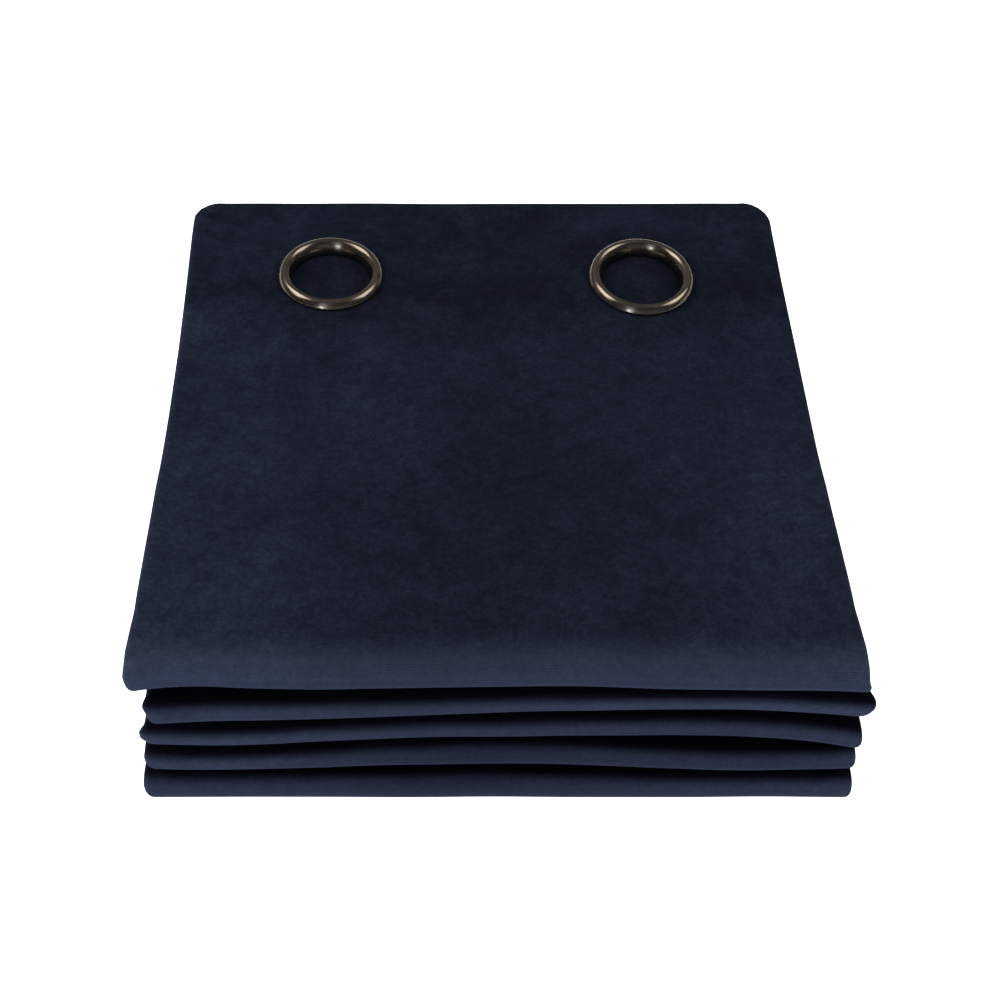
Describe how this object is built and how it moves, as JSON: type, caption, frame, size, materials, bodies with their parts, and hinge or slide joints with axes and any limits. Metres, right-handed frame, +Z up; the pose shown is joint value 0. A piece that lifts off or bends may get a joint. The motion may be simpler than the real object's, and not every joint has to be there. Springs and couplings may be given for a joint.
{
  "type": "folded velvet eyelet curtain",
  "caption": "Long velvet eyelet curtain folded into a flat rectangular stack, with rounded folds at the front and open metal eyelets in the heading on top.",
  "frame": {"origin": "centre of the footprint, on the surface that the stack lies on", "axes": "+Z up through the folded layers; the rounded front folds face -Y, and the heading with its eyelets is towards +Y"},
  "size_m": [0.3334, 0.3287, 0.1134],
  "materials": {
    "velvet": "deep navy velvet, matt with a soft pale sheen where it turns away",
    "eyelet_bronze": "dark antique bronze, satin"
  },
  "bodies": {
    "root": {"curtain": "velvet", "heading": "velvet", "eyelet_left_ring": "eyelet_bronze", "eyelet_left_washer": "eyelet_bronze", "eyelet_right_ring": "eyelet_bronze", "eyelet_right_washer": "eyelet_bronze"}
  },
  "joints": []
}
